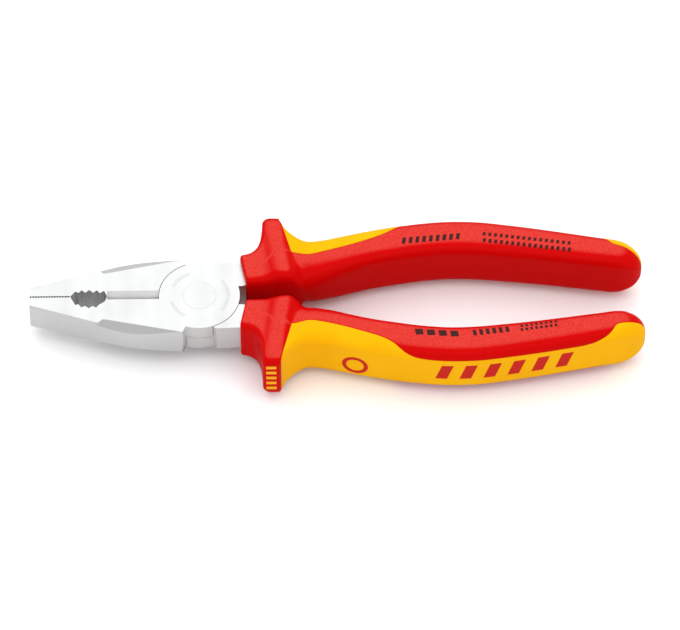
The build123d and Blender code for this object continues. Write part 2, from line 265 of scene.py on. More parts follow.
def panelYellow():
    finish, tree, shader = newFinish("panelYellow")
    grain = useGroup(tree, mouldGrain, Pebble=2600.0, Mottle=420.0)
    soft = useGroup(tree, handling, Size=38.0)
    tree.links.new(colourMix(tree, soft.outputs["Mask"], plastic["yellow"], plastic["yellowWorn"]),
                   shader.inputs["Base Color"])
    tree.links.new(valueMix(tree, grain.outputs["Tone"], 0.36, 0.5), shader.inputs["Roughness"])
    bump(tree, shader, grain.outputs["Height"], 0.18, 0.0001)
    shader.inputs["Specular IOR Level"].default_value = 0.03
    return finish


def markFinish(name, colour, roughness):
    finish, tree, shader = newFinish(name)
    grain = useGroup(tree, mouldGrain, Pebble=2400.0, Mottle=700.0)
    darker = tuple(0.82 * c for c in colour)
    tree.links.new(colourMix(tree, grain.outputs["Tone"], darker, colour), shader.inputs["Base Color"])
    bump(tree, shader, grain.outputs["Height"], 0.15, 0.00008)
    shader.inputs["Roughness"].default_value = roughness
    shader.inputs["Specular IOR Level"].default_value = 0.1
    return finish


def steel(name, colour, roughness, along, across, upright, strength, metal=1.0):
    # along, across and upright: how closely the grinding lines change on each axis
    finish, tree, shader = newFinish(name)
    lines = useGroup(tree, grindLines, Along=along, Across=across, Upright=upright)
    soft = useGroup(tree, handling, Size=85.0)
    dull = tuple(0.9 * c for c in colour)
    shade = mathNode(tree, "MULTIPLY", lines.outputs["Streaks"], soft.outputs["Mask"])
    tree.links.new(colourMix(tree, shade, colour, dull), shader.inputs["Base Color"])
    uneven = mathNode(tree, "MULTIPLY", lines.outputs["Streaks"], 0.12)
    tree.links.new(mathNode(tree, "ADD", uneven, roughness - 0.05), shader.inputs["Roughness"])
    bump(tree, shader, lines.outputs["Height"], strength, 0.00003)
    shader.inputs["Metallic"].default_value = metal
    return finish


finishes = {
    "red": gripRed(),
    "yellow": panelYellow(),
    "mark": markFinish("markRed", plastic["mark"], 0.42),
    "guardMark": markFinish("guardYellow", plastic["guardMark"], 0.42),
    "ink": markFinish("printInk", plastic["ink"], 0.5),
    "sleeve": markFinish("sleevePlastic", (0.75, 0.5, 0.05), 0.5),
    "face": steel("chromeFace", (0.87, 0.88, 0.88), 0.3, 1500.0, 60.0, 60.0, 0.12),
    "side": steel("chromeSide", (0.88, 0.885, 0.88), 0.34, 300.0, 300.0, 300.0, 0.12),
    "ground": steel("chromeGround", (0.90, 0.905, 0.90), 0.36, 2600.0, 40.0, 40.0, 0.5),
    "cutter": steel("cutterGround", (0.93, 0.93, 0.93), 0.45, 3200.0, 3200.0, 3200.0, 2.5, metal=0.5),
    "mouth": steel("mouthSteel", (0.88, 0.885, 0.89), 0.42, 1500.0, 1500.0, 90.0, 0.6),
    # near-black pocket wall: painted shade of the narrow gap round the joint disc
    "pocket": steel("pocketShadeSteel", (0.10, 0.105, 0.11), 0.6, 300.0, 300.0, 300.0, 0.2),
    # dark grey teeth: painted shade inside the mouth, on steel that is otherwise the same as the jaw's
    "teeth": steel("toothShadeSteel", (0.26, 0.265, 0.27), 0.5, 900.0, 900.0, 90.0, 0.4),
    "rivet": steel("rivetGround", (0.86, 0.87, 0.87), 0.3, 1300.0, 60.0, 60.0, 0.12),
    "etch": steel("etchedSteel", (0.74, 0.745, 0.745), 0.45, 900.0, 900.0, 900.0, 0.3),
}
print("finishes made:", len(finishes))


# Levers: the forgings with their sharp edges broken

lever = {
    "edgeBreak": 0.22,        # mm, width of the broken edges
    "steps": 2,
    "sharp": 24,              # degrees, an edge sharper than this is broken
    "facetSharp": 4,          # the ground facets' edges aren't broken, and look crisp above this
    "shortest": 0.7,          # mm, shorter edges, such as the teeth, aren't broken
    "halfHeight": (rivetHigh.z - rivetLow.z) / 2,
    "level": 0.05,            # mm, points this near the disc's face are moved onto it
    "weld": 0.002,
    "facetLean": (0.3, 0.995),  # upright part of the normal, between a side and a flat face
    "crispJoint": 13.0,       # mm, radius around the pivot where no edge is broken
    "crispMouth": 5.0,        # mm, the same either side of the jaws' meeting line
    "cutterReach": 3.2,       # mm from the meeting line that the cutter's bevel reaches
    "mouth": (28.0, 4.6),     # mm, where the mouth begins and how far it reaches to each side
    "teeth": (39.8, 1.0),     # the same for the toothed nose
    "pocket": (12.3, 12.9),   # mm, radii between which the pocket's wall lies
}
leverFinishes = ("face", "side", "ground", "cutter", "mouth", "pocket", "teeth")


def isFacet(face):
    low, high = lever["facetLean"]
    return low < abs(face.normal.z) < high


def faceFinish(face, turn):
    # The finish of a lever's face from where it is and which way it points
    x, y = (face.calc_center_median() - pivot).xy / mm
    radius = math.hypot(x, y)
    pocketLow, pocketHigh = lever["pocket"]
    teethStart, teethReach = lever["teeth"]
    mouthStart, mouthReach = lever["mouth"]
    if abs(face.normal.z) > lever["facetLean"][1]:
        return "face"
    if x < 0 and y * turn < 0 and isFacet(face):
        return "cutter" if abs(y) < lever["cutterReach"] else "ground"
    if x < -mouthStart and abs(y) < mouthReach:
        # the toothed nose gets the dark grey finish, painted shade of the mouth
        return "teeth" if x < -teethStart and abs(y) < teethReach else "mouth"
    # the pocket's wall, facing the pivot, gets the near-black finish, painted shade of the gap round the
    # disc
    if pocketLow < radius < pocketHigh and face.normal.x * x + face.normal.y * y < 0:
        return "pocket"
    return "side"


def markEdges(work):
    # Weights for the edges that get broken, and crisp or smooth shading for the rest
    weights = work.edges.layers.float.new("bevel_weight_edge")
    for edge in work.edges:
        if len(edge.link_faces) != 2:
            continue
        middle = (edge.verts[0].co + edge.verts[1].co) / 2 - pivot
        inJoint = middle.xy.length < lever["crispJoint"] * mm
        inMouth = abs(middle.y) < lever["crispMouth"] * mm and middle.x < 0
        onFacet = any(isFacet(face) for face in edge.link_faces)
        tooShort = edge.calc_length() < lever["shortest"] * mm
        bend = math.degrees(edge.calc_face_angle())
        if bend > lever["sharp"] and not (inJoint or inMouth or onFacet or tooShort):
            edge[weights] = 1
        else:
            edge.smooth = bend < (lever["facetSharp"] if onFacet else lever["sharp"])


def leverPiece(side):
    mesh = nodes["jaw_lever_" + side].data.copy()
    for layer in ("custom_normal", "sharp_edge", "sharp_face"):
        if layer in mesh.attributes:
            mesh.attributes.remove(mesh.attributes[layer])
    mesh.materials.clear()
    for key in leverFinishes:
        mesh.materials.append(finishes[key])
    piece = bpy.data.objects.new("leverForging_" + side, mesh)
    bpy.context.scene.collection.objects.link(piece)
    work = bmesh.new()
    work.from_mesh(mesh)
    for vert in work.verts:                # disc face and shank face become one plane
        height = vert.co.z - pivot.z
        if abs(abs(height) - lever["halfHeight"]) < lever["level"] * mm:
            vert.co.z = pivot.z + math.copysign(lever["halfHeight"], height)
    bmesh.ops.remove_doubles(work, verts=work.verts, dist=lever["weld"] * mm)
    bmesh.ops.dissolve_limit(work, angle_limit=math.radians(0.2), verts=work.verts, edges=work.edges)
    markEdges(work)
    for face in work.faces:
        face.smooth = True
        face.material_index = leverFinishes.index(faceFinish(face, sides[side]["turn"]))
    work.to_mesh(mesh)
    work.free()
    edges = piece.modifiers.new("edges", "BEVEL")
    edges.limit_method = "WEIGHT"
    edges.width = lever["edgeBreak"] * mm
    edges.segments = lever["steps"]
    normals = piece.modifiers.new("normals", "WEIGHTED_NORMAL")
    normals.weight = 100
    normals.keep_sharp = True
    return meshFromModifiers(piece)


def meshFromModifiers(piece):
    # The evaluated shape becomes the piece's own mesh, and nothing live is left on it
    graph = bpy.context.evaluated_depsgraph_get()
    graph.update()
    made = bpy.data.meshes.new_from_object(piece.evaluated_get(graph))
    piece.modifiers.clear()
    old = piece.data
    piece.data = made
    bpy.data.meshes.remove(old)
    return piece


# Grips

gripShape = {
    "length": 137.5,          # mm, pivot to tail
    "height": 19.0,
    "round": 4.0,             # rounding of the outer edges
    "middleLine": ((14.6, 8.4), (34, 11.6), (55, 17.3), (77.5, 20.4), (100, 18.4), (137.5, 12.1)),
    "halfWidth": ((34, 7.0), (49, 6.05), (88, 6.05), (132.6, 4.9)),
    "tailRound": 9.0,         # length of the rounded tail
    "tailFullness": 2.2,      # 2 rounds it as an ellipse, more squares it
    "tailDrop": 0.46,         # share of the height that the tail's rounding takes
    "frontRound": (0.7, 0.35, 0.12, 0.0),   # mm that the first rings are drawn in
    "frontFull": 0.05,        # mm that the second ring stands forward
    "tailPull": 0.996,        # draws the slanted last rings in, so that they end at the tail
    "innerRound": ((36, 6.4), (40, 5.6), (46, 4.7), (54, 4.0)),
    "heightLean": 1.4,        # above 1, the height changes late, towards the outer side
    "room": (0.01, 0.06, 0.01),   # mm kept free inside the tool's box, for the guard bars along y
    # collar, guard and neck, each row: inner x, y, outer x, y, half height inside and outside,
    # edge rounding inside and outside
    "front": (
        (14.6, 3.00, 12.5, 13.7, 8.40, 8.40, 2.2, 1.6),
        (16.4, 3.00, 14.6, 14.3, 8.50, 8.50, 2.4, 2.0),
        (18.6, 3.00, 16.6, 15.5, 8.70, 8.50, 2.6, 2.3),
        (20.6, 3.00, 18.0, 17.4, 9.10, 8.40, 2.8, 2.4),
        (22.4, 3.00, 18.9, 20.4, 9.80, 8.20, 3.0, 2.4),
        (24.0, 3.00, 19.3, 24.0, 10.60, 8.00, 3.2, 2.2),
        (25.4, 3.00, 19.6, 27.2, 11.10, 7.90, 3.2, 1.7),
        (26.6, 3.00, 21.0, 28.0, 11.25, 8.20, 3.2, 1.3),
        (27.8, 3.00, 23.6, 28.0, 11.20, 8.25, 3.2, 1.3),
        (29.2, 3.10, 24.5, 27.9, 10.60, 8.25, 3.6, 1.4),
        (30.9, 3.35, 24.95, 27.1, 9.50, 8.40, 5.2, 1.8),
        (32.3, 3.75, 26.3, 24.3, 8.90, 8.75, 7.0, 2.6),
        (34.0, 4.20, 29.5, 21.1, 8.85, 9.15, 7.4, 3.4),
        (36.2, 4.80, 33.2, 19.2, 9.10, 9.40, 6.8, 3.9),
    ),
}


def catmull(rows, at):
    # Smooth curve through rows, at is the row number as a float
    rows = np.asarray(rows, float)
    at = np.clip(np.asarray(at, float), 0, len(rows) - 1 - 1e-9)
    last = len(rows) - 1
    i = at.astype(int)
    t = (at - i)[:, None]
    before, here = rows[np.maximum(i - 1, 0)], rows[i]
    after, beyond = rows[np.minimum(i + 1, last)], rows[np.minimum(i + 2, last)]
    return 0.5 * (2 * here + (after - before) * t + (2 * before - 5 * here + 4 * after - beyond) * t ** 2
                  + (3 * here - before - 3 * after + beyond) * t ** 3)


def throughPoints(points, x):
    # y at x on the smooth curve through points
    points = np.asarray(points, float)
    fine = catmull(points, np.linspace(0, len(points) - 1, 60 * len(points)))
    return np.interp(x, fine[:, 0], fine[:, 1])


def middleY(x):
    return throughPoints(gripShape["middleLine"], x)


def handleStation(x, share=1.0, drop=0.0):
    # Inner and outer point square to the middle line, for the plain part of the handle
    slope = middleY(x + 0.5) - middleY(x - 0.5)
    along = np.array((1, slope)) / math.hypot(1, slope)
    across = np.array((-along[1], along[0]))
    middle = np.array((x, middleY(x)))
    widths = np.array(gripShape["halfWidth"])
    half = np.interp(x, widths[:, 0], widths[:, 1]) * share
    height = gripShape["height"] / 2 - drop
    rounding = min(gripShape["round"], 0.92 * half)
    softer = np.array(gripShape["innerRound"])
    innerRounding = min(np.interp(x, softer[:, 0], softer[:, 1]), 0.92 * half)
    return (*(middle - half * across), *(middle + half * across), height, height, innerRounding, rounding)


def gripStations():
    rows = list(gripShape["front"])
    tail = gripShape["length"] - gripShape["tailRound"]
    rows += [handleStation(x) for x in (40, 45, 52, 60, 68, 77, 86, 95, 104, 113, 121, tail - 2, tail)]
    for turn in np.radians((18, 34, 48, 60, 70, 79, 86)):
        reach = math.sin(turn)
        shrink = (1 - reach ** gripShape["tailFullness"]) ** (1 / gripShape["tailFullness"])
        drop = gripShape["tailDrop"] * gripShape["height"] * (1 - math.sqrt(1 - reach ** 2))
        ahead = gripShape["tailRound"] * reach * gripShape["tailPull"]
        rows.append(handleStation(tail + ahead, shrink, drop))
    return np.array(rows)


def upperProfile(row):
    # Upper half of a cross-section, inner side to outer side: across, height, and outward direction
    innerX, innerY, outerX, outerY, innerHeight, outerHeight, innerRound, outerRound = row
    half = math.hypot(outerX - innerX, outerY - innerY) / 2
    mean = (innerHeight + outerHeight) / 2
    innerRound = min(innerRound, 0.95 * half, mean)
    outerRound = min(outerRound, 0.95 * half, mean)
    quarter = np.linspace(0, math.pi / 2, 14)
    rise = np.linspace(0, 1, 8)[:-1]
    across = [np.full(7, -half), -half + innerRound * (1 - np.cos(quarter)),
              np.linspace(-half + innerRound, half - outerRound, 12)[1:-1],
              half - outerRound * (1 - np.sin(quarter)), np.full(7, half)]
    height = [rise * (mean - innerRound), mean - innerRound * (1 - np.sin(quarter)), np.full(10, mean),
              mean - outerRound * (1 - np.cos(quarter)), (mean - outerRound) * (1 - rise - 1 / 7)]
    across = np.concatenate(across)
    height = np.concatenate(height)
    share = (across + half) / (2 * half)
    height *= (innerHeight + (outerHeight - innerHeight) * share ** gripShape["heightLean"]) / mean
    points = np.stack((across, height), 1)
    ahead = np.gradient(points, axis=0)
    outward = np.stack((-ahead[:, 1], ahead[:, 0]), 1)
    outward /= np.linalg.norm(outward, axis=1)[:, None] + 1e-12
    length = np.concatenate(([0], np.cumsum(np.linalg.norm(np.diff(points, axis=0), axis=1))))
    return points, outward, length


stations = gripStations()


def gripSection(at):
    # Cross-section of the grip at a station, the stations numbered from the front
    row = catmull(stations, np.array([at]))[0]
    points, outward, length = upperProfile(row)
    inner, outer = np.array(row[:2]), np.array(row[2:4])
    direction = (outer - inner) / np.linalg.norm(outer - inner)
    return {"points": points, "outward": outward, "length": length, "middle": (inner + outer) / 2,
            "direction": direction}


def onSection(section, arc, lift, under=False):
    # Points at arc lengths around a section, lifted off the surface
    across = np.interp(arc, section["length"], section["points"][:, 0])
    height = np.interp(arc, section["length"], section["points"][:, 1])
    leanAcross = np.interp(arc, section["length"], section["outward"][:, 0])
    leanUp = np.interp(arc, section["length"], section["outward"][:, 1])
    across = across + lift * leanAcross
    height = (height + lift * leanUp) * (-1 if under else 1)
    plan = section["middle"] + across[:, None] * section["direction"]
    return np.column_stack((plan, height))


panelShape = {
    "start": 10.15,           # station where the panel begins, on the guard's back
    "corner": 0.8,            # mm, rounding of its upper front corner
    "cornerRun": 0.8,         # the same along the stations
    "depth": 0.9,
    "proud": 0.10,
    "edge": 0.30,             # mm, rounding at the seam
    "edgeDrop": 0.8,          # how deep that rounding falls, as a share of its width
    "edgeSteps": (0.0, 0.1, 0.3, 0.62, 1.0),
    "seam": 0.05,
    "seat": 0.05,             # mm between the panel's inner skin and the recess
    "stationStep": 1.4,       # mm from station to station near the panel's front
    # station, share of the section from its inner side's middle to its outer side's middle
    "edgeLine": ((10.0, 0.44), (11.0, 0.46), (12.0, 0.48), (13, 0.50), (14, 0.515), (15, 0.52),
                 (15.6, 0.53), (16.4, 0.56), (17.0, 0.62), (17.6, 0.735), (18.2, 0.79), (19.5, 0.80),
                 (21, 0.80), (23.0, 0.80), (23.8, 0.78), (24.6, 0.69), (25.2, 0.60), (25.8, 0.57),
                 (27.0, 0.56), (30, 0.55), (33, 0.55)),
    "nearLimit": 0.73,        # the share that the edge nearer the tool's flat side stops at
}


def panelEdge(at, total, limited):
    # Arc length at which the panel begins on this section
    share = throughPoints(panelShape["edgeLine"], at)
    if limited:
        share = min(share, panelShape["nearLimit"])
    into = (at - panelShape["start"]) / panelShape["cornerRun"]
    pull = 0.0
    if into < 1:
        pull = panelShape["corner"] * (1 - math.sqrt(max(0.0, 1 - (1 - max(into, 0.0)) ** 2)))
    return share * total + pull


def seamDrop(distance):
    # How far the surface rounds down this far from the seam
    edge = panelShape["edge"]
    inside = np.clip(1 - np.asarray(distance) / edge, 0, 1)
    return edge * (1 - np.sqrt(1 - inside ** 2)) * panelShape["edgeDrop"]


def stationList():
    # Where the rings stand, closer together around the panel's front end, and how many lie ahead of it
    start = panelShape["start"]
    rows = list(np.arange(0, start - 0.3, 0.14))
    rows += [start - 0.22, start - 0.12, start - 0.05, start - 0.015]
    front = len(rows)
    rows += [start, start + 0.012, start + 0.05, start + 0.1, start + 0.17, start + 0.26, start + 0.37,
             start + 0.5, start + 0.65]
    last = len(stations) - 1
    rows += list(np.arange(start + 0.8, last, 0.16))
    rows.append(last - 1e-6)
    return rows, front


def ringFaces(rows, count, first=0):
    faces = []
    for i in range(rows - 1):
        for j in range(count):
            k = (j + 1) % count
            a = first + i * count
            b = a + count
            faces.append((a + j, a + k, b + k, b + j))
    return faces


def closeEnd(points, faces, ring):
    middle = np.mean([points[i] for i in ring], axis=0)
    points.append(middle)
    for i, j in zip(ring, ring[1:] + ring[:1]):
        faces.append((i, j, len(points) - 1))


def bodyHalf(section, at, number, front, limited):
    # Half a ring of the red moulding, sunk where the panel sits in it
    total = section["length"][-1]
    border = panelEdge(at, total, limited)
    edge = panelShape["edge"]
    near = np.array(panelShape["edgeSteps"][::-1]) * edge
    plain = np.linspace(0, border - edge, 34)[:-1]
    arcs = np.concatenate((plain, border - near, np.linspace(border, total, 15)))
    lift = np.zeros(len(arcs))
    sunk = np.arange(len(arcs)) >= len(plain) + len(near)
    if number > front:
        lift[len(plain):len(plain) + len(near)] = -seamDrop(near)
        lift[sunk] = -panelShape["depth"]
    else:
        lift[sunk] = -seamDrop((panelShape["start"] - at) * panelShape["stationStep"])
    if number < len(gripShape["frontRound"]):
        lift = lift - gripShape["frontRound"][number]
    return arcs, lift


def gripBody(side):
    rows, front = stationList()
    points = []
    for number, at in enumerate(rows):
        section = gripSection(at)
        arcs, lift = bodyHalf(section, at, number, front, True)
        upper = onSection(section, arcs, lift)
        arcs, lift = bodyHalf(section, at, number, front, False)
        lower = onSection(section, arcs[1:-1][::-1], lift[1:-1][::-1], under=True)
        ring = np.concatenate((upper, lower))
        if number == 1:
            ring[:, 0] -= gripShape["frontFull"]
        count = len(ring)
        points += list(ring)
    faces = ringFaces(len(rows), count)
    closeEnd(points, faces, list(range(count))[::-1])
    closeEnd(points, faces, list(range((len(rows) - 1) * count, len(rows) * count)))
    return meshObject("gripMoulding_" + side, toFrame(clampToBox(points), sides[side]["turn"]), faces,
                      finishes["red"])


def panelHalf(section, at, first, limited, under):
    # Half a row of the panel, its outer skin and its inner skin
    total = section["length"][-1]
    edge, proud = panelShape["edge"], panelShape["proud"]
    border = panelEdge(at, total, limited) + panelShape["seam"]
    near = np.array(panelShape["edgeSteps"]) * edge
    arcs = np.concatenate((border + near, np.linspace(border + edge, total, 30)[1:]))
    lift = proud - seamDrop(np.minimum(arcs - border, (at - first) * panelShape["stationStep"]))
    deep = np.full(len(arcs), panelShape["seat"] - panelShape["depth"])
    if under:
        arcs, lift, deep = arcs[:-1][::-1], lift[:-1][::-1], deep[:-1]
    return onSection(section, arcs, lift, under), onSection(section, arcs, deep, under)


def softPanel(side):
    rows, front = stationList()
    rows = rows[front + 1:]
    outer, inner = [], []
    for at in rows:
        section = gripSection(at)
        upper = panelHalf(section, at, rows[0], True, False)
        lower = panelHalf(section, at, rows[0], False, True)
        outer.append(np.concatenate((upper[0], lower[0])))
        inner.append(np.concatenate((upper[1], lower[1])))
    width = len(outer[0])
    points = list(np.concatenate(outer)) + list(np.concatenate(inner))
    shell = len(rows) * width
    faces = []
    for i in range(len(rows) - 1):
        for j in range(width - 1):
            a = i * width + j
            faces.append((a, a + 1, a + width + 1, a + width))
            b = a + shell
            faces.append((b, b + width, b + width + 1, b + 1))
        for j in (0, width - 1):
            a = i * width + j
            faces.append((a, a + width, a + width + shell, a + shell))
    for i in (0, len(rows) - 1):
        for j in range(width - 1):
            a = i * width + j
            faces.append((a, a + 1, a + 1 + shell, a + shell))
    return meshObject("gripPanel_" + side, toFrame(clampToBox(points), sides[side]["turn"]), faces,
                      finishes["yellow"])


def clampToBox(points):
    # Keeps the grip inside the tool's box
    points = np.array(points)
    reach = (np.array(cadBox[1]) - np.array(pivot)) / mm - gripShape["room"]
    points[:, :2] = np.minimum(points[:, :2], reach[:2])
    points[:, 2] = np.clip(points[:, 2], -reach[2], reach[2])
    return points


levers = {side: leverPiece(side) for side in sides}
print("levers made")
bodies = {side: gripBody(side) for side in sides}
panels = {side: softPanel(side) for side in sides}
print("grips made")


# Marks: flat shapes repeated in a row, laid onto a surface and given a thickness

def newGeometryTree(name, inputs):
    tree = bpy.data.node_groups.new(name, "GeometryNodeTree")
    face = tree.interface
    face.new_socket("Geometry", in_out="INPUT", socket_type="NodeSocketGeometry")
    for label, kind in inputs.items():
        face.new_socket(label, in_out="INPUT", socket_type="NodeSocket" + kind)
    face.new_socket("Geometry", in_out="OUTPUT", socket_type="NodeSocketGeometry")
    return tree, tree.nodes.new("NodeGroupInput").outputs, tree.nodes.new("NodeGroupOutput")


def marksTree():
    tree, given, result = newGeometryTree("marksOnSurface", {
        "Count": "Int", "Step": "Vector", "Surface": "Object", "Towards": "Vector",
        "Lift": "Float", "Depth": "Float", "Finish": "Material"})
    row = addNode(tree, "GeometryNodeMeshLine", [("Count", given["Count"]), ("Offset", given["Step"])])
    placed = addNode(tree, "GeometryNodeInstanceOnPoints", [("Points", row.outputs[0]),
                                                            ("Instance", given["Geometry"])])
    real = addNode(tree, "GeometryNodeRealizeInstances", [(0, placed.outputs[0])])
    surface = addNode(tree, "GeometryNodeObjectInfo", [("Object", given["Surface"])])
    ray = addNode(tree, "GeometryNodeRaycast", [("Target Geometry", surface.outputs["Geometry"]),
                                                ("Ray Direction", given["Towards"])],
                  **{"Ray Length": 1.0})
    base = mathNode(tree, "SUBTRACT", given["Lift"], given["Depth"])
    sunk = addNode(tree, "ShaderNodeVectorMath", operation="SCALE",
                   links=[(0, ray.outputs["Hit Normal"]), ("Scale", base)])
    onto = addNode(tree, "ShaderNodeVectorMath", operation="ADD",
                   links=[(0, ray.outputs["Hit Position"]), (1, sunk.outputs[0])])
    laid = addNode(tree, "GeometryNodeSetPosition", [("Geometry", real.outputs[0]),
                                                     ("Selection", ray.outputs["Is Hit"]),
                                                     ("Position", onto.outputs[0])])
    raised = addNode(tree, "GeometryNodeExtrudeMesh", [("Mesh", laid.outputs[0]),
                                                       ("Offset Scale", given["Depth"])],
                     Individual=False)
    under = addNode(tree, "GeometryNodeFlipFaces", [(0, laid.outputs[0])])
    both = addNode(tree, "GeometryNodeJoinGeometry", [(0, under.outputs[0]), (0, raised.outputs["Mesh"])])
    closed = addNode(tree, "GeometryNodeMergeByDistance", [("Geometry", both.outputs[0])], Distance=1e-6)
    finished = addNode(tree, "GeometryNodeSetMaterial", [("Geometry", closed.outputs[0]),
                                                         ("Material", given["Finish"])])
    tree.links.new(finished.outputs[0], result.inputs[0])
    return tree


def ticksTree():
    tree, given, result = newGeometryTree("ticksOnArc", {
        "Count": "Int", "Radius": "Float", "Start": "Float", "Sweep": "Float",
        "Centre": "Vector", "Finish": "Material"})
    arc = addNode(tree, "GeometryNodeCurveArc",
                  [("Resolution", given["Count"]), ("Radius", given["Radius"]),
                   ("Start Angle", given["Start"]), ("Sweep Angle", given["Sweep"])])
    position = addNode(tree, "GeometryNodeInputPosition")
    facing = addNode(tree, "FunctionNodeAlignRotationToVector",
                     [("Vector", position.outputs[0])], axis="X")
    placed = addNode(tree, "GeometryNodeInstanceOnPoints", [("Points", arc.outputs[0]),
                                                            ("Instance", given["Geometry"]),
                                                            ("Rotation", facing.outputs[0])])
    real = addNode(tree, "GeometryNodeRealizeInstances", [(0, placed.outputs[0])])
    moved = addNode(tree, "GeometryNodeTransform", [("Geometry", real.outputs[0]),
                                                    ("Translation", given["Centre"])])
    finished = addNode(tree, "GeometryNodeSetMaterial", [("Geometry", moved.outputs[0]),
                                                         ("Material", given["Finish"])])
    tree.links.new(finished.outputs[0], result.inputs[0])
    return tree


marksOnSurface = marksTree()
ticksOnArc = ticksTree()


def repeated(piece, tree, **values):
    # Runs a geometry tree on the piece and keeps its result as the piece's mesh
    rows = piece.modifiers.new("rows", "NODES")
    rows.node_group = tree
    for item in tree.interface.items_tree:
        if item.in_out == "INPUT" and item.name in values:
            rows[item.identifier] = values[item.name]
    return meshFromModifiers(piece)


def flatBar(length, height, slant, pieces=6):
    # Slanted bar in the X-Z plane, in millimetres, as a fine grid
    points, faces = [], []
    for j in range(pieces + 1):
        for i in range(pieces + 1):
            up = j / pieces - 0.5
            points.append(((i / pieces - 0.5) * length + up * slant, 0, up * height))
    for j in range(pieces):
        for i in range(pieces):
            a = j * (pieces + 1) + i
            faces.append((a, a + 1, a + pieces + 2, a + pieces + 1))
    return points, faces


def flatRing(radius, width, steps=48, rings=3):
    points, faces = [], []
    for k in range(steps):
        turn = 2 * math.pi * k / steps
        for i in range(rings + 1):
            r = radius - width * i / rings
            points.append((r * math.cos(turn), 0, r * math.sin(turn)))
    for k in range(steps):
        for i in range(rings):
            a = k * (rings + 1) + i
            b = ((k + 1) % steps) * (rings + 1) + i
            faces.append((a, b, b + 1, a + 1))
    return points, faces


def marksPiece(name, shape, place, side, count, step, surface, towards, finish, lift=0.035, depth=0.3):
    # place: first mark's middle about the pivot; towards: the way the marks are pressed onto the surface
    points, faces = shape
    points = np.array(points, float)
    if abs(towards[2]) > 0.5:                  # marks on a flat face lie in the X-Y plane
        points = points[:, (0, 2, 1)]
    points = toFrame(points + np.array(place), sides[side]["turn"])
    piece = meshObject(name, points, faces, finish, smooth=False)
    if piece.data.polygons[0].normal.dot(Vector(towards)) > 0:
        piece.data.flip_normals()
    return repeated(piece, marksOnSurface, Count=count, Step=Vector(step) * mm, Surface=surface,
                    Towards=towards, Lift=lift * mm, Depth=depth * mm, Finish=finish)


marks = {
    "castFrom": 35,           # mm from the pivot, where marks start before they are pressed on
    "stripes": {"count": 6, "pitch": 7.4, "length": 3.6, "height": 6.6, "slant": -2.0, "start": 75.2},
    "ring": {"x": 47.8, "z": 2.0, "radius": 4.0, "width": 1.3},
    "guard": {"count": 5, "pitch": 2.6, "length": 3.2, "height": 1.3, "x": 22.05, "lift": 0.04},
    # plain dashes along the red top: first and last x, pitch, length, height, distance from the middle
    "prints": {
        "a": ((63.5, 80.5, 2.1, 1.1, 2.3, -1.6), (88.5, 115.5, 1.75, 0.9, 1.3, -0.3),
              (88.5, 115.5, 1.75, 0.9, 1.3, -2.7)),
        "b": ((67.5, 78.5, 3.6, 2.4, 2.2, -1.7), (84.5, 96.0, 2.0, 1.1, 2.2, -1.9),
              (99.0, 109.5, 1.5, 0.8, 1.0, -1.1), (99.0, 109.5, 1.5, 0.8, 1.0, -2.6)),
    },
    "printSlant": 0.15,       # share of a dash's height
    # faint ring of ticks on the joint disc: first angle and sweep in degrees, count
    "disc": {"radius": 8.9, "length": 1.1, "width": 0.28, "proud": 0.012,
             "arcs": ((112, 42, 9), (198, 40, 9), (-38, 76, 15))},
}


def sideMarks(side):
    # Stripes and ring on the panel, bars on the guard, under the names of the nodes they stand for
    turn = sides[side]["turn"]
    out = (0, -turn, 0)
    away = marks["castFrom"]
    stripes, ring, guard = marks["stripes"], marks["ring"], marks["guard"]
    firstBar = -guard["pitch"] * (guard["count"] - 1) / 2 * turn
    return {
        "panel_stripes_": marksPiece(
            "panelStripes_" + side, flatBar(stripes["length"], stripes["height"], stripes["slant"]),
            (stripes["start"], away, 0), side, stripes["count"], (stripes["pitch"], 0, 0),
            panels[side], out, finishes["mark"]),
        "panel_ring_": marksPiece(
            "panelRing_" + side, flatRing(ring["radius"], ring["width"]),
            (ring["x"], away, ring["z"]), side, 1, (0, 0, 0), panels[side], out, finishes["mark"]),
        "guard_bars_": marksPiece(
            "guardBars_" + side, flatBar(guard["length"], guard["height"], 0),
            (guard["x"], away, firstBar), side, guard["count"], (0, 0, guard["pitch"]),
            bodies[side], out, finishes["guardMark"], lift=guard["lift"]),
    }


def topPrints(side):
    # Rows of dashes that follow the handle's line, pressed down on the upper red face
    turn = sides[side]["turn"]
    made = []
    for number, (first, last, pitch, length, height, aside) in enumerate(marks["prints"][side]):
        count = int((last - first) / pitch) + 1
        slope = (middleY(last) - middleY(first)) / (last - first)
        place = (first, float(middleY(first)) + aside, marks["castFrom"] * turn)
        dash = flatBar(length, height, marks["printSlant"] * height, 3)
        made.append(marksPiece(
            f"topPrint_{side}{number + 1}", dash, place, side, count, (pitch, slope * pitch * turn, 0),
            bodies[side], (0, 0, -1), finishes["ink"], lift=0.03, depth=0.15))
    return made


def discTicks():
    disc = marks["disc"]
    half = np.array((disc["length"] / 2, disc["width"] / 2, disc["proud"])) * mm
    corners = [(x * half[0], y * half[1], z * half[2]) for x in (-1, 1) for y in (-1, 1) for z in (-1, 1)]
    faces = [(0, 1, 3, 2), (4, 6, 7, 5), (0, 4, 5, 1), (2, 3, 7, 6), (0, 2, 6, 4), (1, 5, 7, 3)]
    centre = Vector((pivot.x, pivot.y, rivetHigh.z))
    made = []
    for number, (start, sweep, count) in enumerate(disc["arcs"]):
        piece = meshObject(f"discTicks_{number + 1}", corners, faces, finishes["etch"], smooth=False)
        made.append(repeated(piece, ticksOnArc, Count=count, Radius=disc["radius"] * mm,
                             Start=math.radians(start), Sweep=math.radians(sweep), Centre=centre,
                             Finish=finishes["etch"]))
    return made


